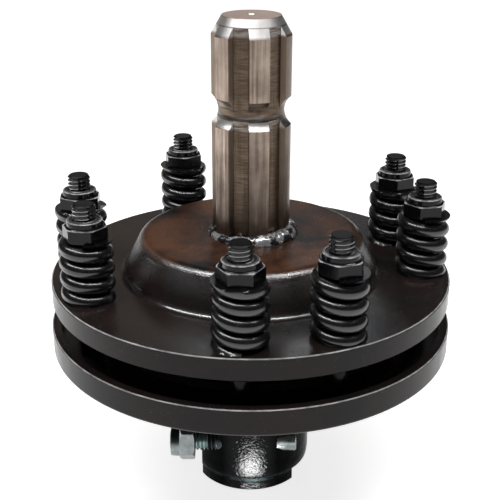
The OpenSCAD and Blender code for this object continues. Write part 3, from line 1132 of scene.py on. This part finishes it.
@dataclass(frozen=True)
class ClampSet:
    """The clamp pin across the hub, with its thread and its backed-off nut."""

    thread: Thread = Thread(5.0 * MM)
    nut: LockNut = LockNut(height=11.2 * MM, collar=4.2 * MM)
    nut_turn: float = math.radians(-15.0)
    line_y: float = -20.1 * MM
    line_z: float = 24.5 * MM
    right_end: float = 21.8 * MM
    thread_from: float = -15.0 * MM
    nut_at: float = -26.2 * MM
    left_end: float = -37.8 * MM
    end_chamfer: float = 0.6 * MM

    def line(self, x: float) -> Matrix:
        """The placing that turns +Z to -X and starts at x on the pin's line."""
        turn = Matrix.Rotation(-math.pi / 2, 4, "Y")
        return Matrix.Translation((x, self.line_y, self.line_z)) @ turn

    def build(self, material: Material) -> None:
        """Makes the pin and its nut.

        Args:
            material: The fasteners' finish.
        """
        radius, start = self.thread.radius, self.right_end
        below = [(0.0, 0.0), (radius - self.end_chamfer, 0.0), (radius, self.end_chamfer)]
        rod = self.thread.rod("threaded_clamp_pin", below, start - self.thread_from,
                              start - self.left_end)
        nut = self.nut.mesh("clamp_lock_nut")
        spin = Matrix.Rotation(self.nut_turn, 4, "Z")
        for mesh, place, node in ((rod, self.line(start), "clamp_pin"),
                                  (nut, self.line(self.nut_at) @ spin, "clamp_nut")):
            mesh.transform(place)
            mesh.materials.append(material)
            keep(add(mesh.name, mesh), Body.HUB, Slot.ZINC_FASTENER, node)


@dataclass(frozen=True)
class WeldBead:
    """The rippled weld bead between the shaft and the dome."""

    middle: float = 17.3 * MM
    foot: float = 123.5 * MM
    inner: float = 15.65 * MM
    leg: float = 4.1 * MM
    sunk: float = 0.4 * MM
    ripples: float = 34.0
    ripple_depth: float = 0.25 * MM
    ripple_slant: float = 90.0
    lump_depth: float = 1.5 * MM
    lump_scale: float = 180.0
    lump_detail: float = 2.0
    lump_mean: float = 0.5
    full_side: float = -30.0
    thin_share: float = 0.4
    around: int = 368
    across: int = 32
    sharp: float = 0.9

    def build(self, material: Material) -> None:
        """Sweeps the bead around the shaft and ripples it.

        Args:
            material: The weld's finish.
        """
        g = Graph("weld_sweep")
        middle, leg, foot, inner, ripples, depth, lumps, full, thin = g.sizes({
            "Middle radius": self.middle, "Leg": self.leg, "Foot": self.foot,
            "Inner radius": self.inner, "Ripples": self.ripples,
            "Ripple depth": self.ripple_depth, "Lump depth": self.lump_depth,
            "Full side": math.radians(self.full_side), "Thin share": self.thin_share})
        path, section = g.ring(self.around, middle), g.ring(self.across, leg)
        even = g.out("GeometryNodeCurveToMesh", path, section)
        x, y, z = g.position()
        angle = g.math("ARCTAN2", y, x)
        half = (1.0 - thin) * 0.5
        share = 1.0 - half + half * g.math("COSINE", angle - full)
        radius = g.reach(x, y)
        slim = (middle + (radius - middle) * share) / radius
        tube = g.put(even, g.vector(x * slim, y * slim, z * share))
        wave = g.math("FRACT", angle * (ripples / TURN) + z * self.ripple_slant)
        scallop = g.math("SINE", wave * math.pi) * depth
        rough = g.out("ShaderNodeTexNoise", g.out("GeometryNodeInputPosition"),
                      Scale=self.lump_scale, Detail=self.lump_detail)
        push = g.node("ShaderNodeVectorMath", g.out("GeometryNodeInputNormal"))
        push.operation = "SCALE"
        g.feed(push.inputs["Scale"], scallop + (rough - self.lump_mean) * lumps)
        lumpy = g.out("GeometryNodeSetPosition", tube, Offset=Value(g, push.outputs[0]))
        grow = radius.at_least(inner) / radius
        seated = g.vector(x * grow, y * grow, z.at_least(-self.sunk) + foot)
        g.finish(g.smooth(g.put(lumpy, seated), self.sharp), material)
        piece = g.bake("weld_bead", bpy.data.meshes.new("weld_start"))
        keep(piece, Body.CLUTCH, Slot.WELD, "shaft_weld")


@dataclass(frozen=True)
class Lamp:
    """A soft lamp: along is its width's direction, radiance its face's mean with 1 as white."""

    name: str
    place: Point
    size: Pair
    radiance: float
    along: Point = (1.0, 0.0, 0.0)
    colour: Colour = (1.0, 1.0, 1.0)
    aim: Point = (0.0, 0.0, 0.11)
    face: Face = Face.BAR
    spread: float = math.pi

    def hang(self) -> None:
        """Puts the lamp into the scene, hidden from the camera."""
        data = bpy.data.lights.new(self.name, "AREA")
        data.shape = self.face.value
        data.spread = self.spread
        data.size, data.size_y = self.size
        data.energy = self.radiance * math.pi * self.size[0] * self.size[1]
        data.color = self.colour
        made = add(self.name, data)
        back = (Vector(self.place) - Vector(self.aim)).normalized()
        up = back.cross(Vector(self.along)).normalized()
        turn = Matrix((up.cross(back), up, back)).transposed().to_4x4()
        made.matrix_world = Matrix.Translation(self.place) @ turn
        made.visible_camera = False


@dataclass(frozen=True)
class Studio:
    """Pale floor, soft lamps, dim surroundings and the camera of the photograph."""

    image_px: float = 500.0
    focal_px: float = 997.93
    centre_px: Pair = (251.68, 247.11)
    camera_at: Point = (0.00042, -0.42629, 0.2877)
    pitch: float = math.radians(22.03)
    roll: float = math.radians(0.22)
    sensor_mm: float = 36.0
    clip_near: float = 0.01
    floor_size: float = 60.0
    floor_tones: tuple[Colour, Colour] = ((0.78, 0.78, 0.78), (0.80, 0.80, 0.80))
    floor_grain: Grain = Grain(3.0, 2.0)
    floor_rough: float = 0.9
    floor_glow: Span = Span(350.0, 1600.0, 0.80, 0.95)
    white: Colour = (1.0, 1.0, 1.0)
    world_colour: Colour = (1.0, 0.99, 0.98)
    world_strength: float = 0.06
    lamps: tuple[Lamp, ...] = (
        Lamp("left_tube", (-0.45, -0.25, 1.12), (1.08, 0.075), 33.0, (-0.9, 0.6, 0.0)),
        Lamp("right_tube", (0.42, -0.22, 1.12), (0.90, 0.07), 29.0, (0.75, 0.55, 0.0)),
        Lamp("left_panel", (-0.42, 0.05, 0.02), (0.32, 0.06), 2.6, (0.0, 1.0, 0.0)),
        Lamp("back_wall", (-0.55, 1.30, 0.62), (1.4, 0.7), 0.16, (1.0, 0.4, 0.0),
             colour=(1.0, 0.82, 0.68)),
        Lamp("back_window", (0.06, 1.30, 0.83), (0.30, 0.28), 2.2, colour=(0.90, 0.95, 1.0)),
        Lamp("hub_glow", (0.001, -0.0415, 0.003), (0.018, 0.011), 13.0,
             aim=(0.0, -0.0265, 0.015), face=Face.OVAL, spread=math.radians(60.0)),
        Lamp("foot_glow", (0.002, -0.0290, 0.0008), (0.014, 0.005), 5.0,
             aim=(0.002, -0.021, 0.003), face=Face.OVAL, spread=math.radians(30.0)),
    )

    def camera(self) -> None:
        """Places the camera as it was fitted to the photograph."""
        data = bpy.data.cameras.new("photo_camera")
        data.sensor_width = self.sensor_mm
        data.sensor_fit = "HORIZONTAL"
        data.lens = self.focal_px / self.image_px * self.sensor_mm
        data.shift_x = (self.image_px / 2 - self.centre_px[0]) / self.image_px
        data.shift_y = (self.centre_px[1] - self.image_px / 2) / self.image_px
        data.clip_start = self.clip_near
        made = add("photo_camera", data)
        tilt = Matrix.Rotation(math.pi / 2 - self.pitch, 4, "X")
        turn = tilt @ Matrix.Rotation(self.roll, 4, "Z")
        made.matrix_world = Matrix.Translation(self.camera_at) @ turn
        bpy.context.scene.camera = made

    def floor(self) -> None:
        """Lays the pale floor, which shows near white to the camera and keeps a soft shadow."""
        half = self.floor_size / 2
        mesh = bpy.data.meshes.new("studio_floor")
        corners = [(-half, -half, 0), (half, -half, 0), (half, half, 0), (-half, half, 0)]
        mesh.from_pydata(corners, [], [(0, 1, 2, 3)])
        made = add("studio_floor", mesh)
        s = Sketch("studio_floor_white")
        path = s.node("ShaderNodeLightPath").outputs
        rays = ("Is Camera Ray", "Is Glossy Ray", "Is Transmission Ray")
        camera, glossy, through = (Value(s, path[ray]) for ray in rays)
        seen = camera.at_least(glossy.at_least(through))
        s.set(Base_Color=s.mix(s.noise(self.floor_grain), *self.floor_tones),
              Roughness=self.floor_rough, Specular_IOR_Level=0.0, Emission_Color=self.white,
              Emission_Strength=seen * s.radius.ramp(self.floor_glow))
        mesh.materials.append(s.material)

    def world(self) -> None:
        """Plain grey surroundings."""
        world = bpy.data.worlds.new("studio_world")
        world.use_nodes = True
        back = world.node_tree.nodes["Background"]
        back.inputs["Color"].default_value = (*self.world_colour, 1.0)
        back.inputs["Strength"].default_value = self.world_strength
        bpy.context.scene.world = world

    def build(self) -> None:
        """Sets up the whole studio."""
        self.camera()
        self.floor()
        self.world()
        for lamp in self.lamps:
            lamp.hang()
        bpy.context.scene.view_settings.view_transform = "Standard"


def finishes() -> dict[str, Material]:
    """Makes every finish once.

    Returns:
        The materials by the record's slot names.
    """
    made = {
        Slot.PAINT: BlackPaint(),
        Slot.SPRING: SatinBlack("spring_satin_black"),
        # The fasteners' edge lines, at the nuts' chamfered corners and collar rims, are worn paint
        # and a painted highlight.
        Slot.OXIDE: SatinBlack("fastener_satin_black", roughness=0.16, specular=0.24,
                               edges=(139.1, 141.75), tip_specular=1.8),
        Slot.MACHINED: MachinedSteel(),
        Slot.WELD: WeldMetal(),
        Slot.ZINC_FORGING: ForgedZinc(),
        Slot.ZINC_FASTENER: BrightZinc(),
        Slot.LINING: Moulded("lining_moulded", (0.022, 0.019, 0.017), (0.060, 0.050, 0.042),
                             Grain(900.0, 5.0, 0.7), Span(0.38, 0.62), roughness=0.85,
                             relief=Relief(0.1, 0.6)),
        Slot.NYLON_BLACK: Moulded("ring_black_nylon", (0.02, 0.02, 0.022), (0.035, 0.035, 0.037)),
        Slot.NYLON_WHITE: Moulded("ring_white_nylon", (0.62, 0.63, 0.61), (0.50, 0.51, 0.49)),
    }
    return {slot.value: finish.build() for slot, finish in made.items()}


def main() -> None:
    """Builds the pieces in order and reports each one."""
    logging.basicConfig(level=logging.INFO, format="%(name)s: %(message)s")
    looks = finishes()
    Dressing(looks).dress()
    circle = BoltCircle()
    SpringSet(circle).build(looks[Slot.SPRING.value])
    BoltSet(circle).build(looks[Slot.OXIDE.value])
    WeldBead().build(looks[Slot.WELD.value])
    ClampSet().build(looks[Slot.ZINC_FASTENER.value])
    Studio().build()


if __name__ == "__main__":
    main()
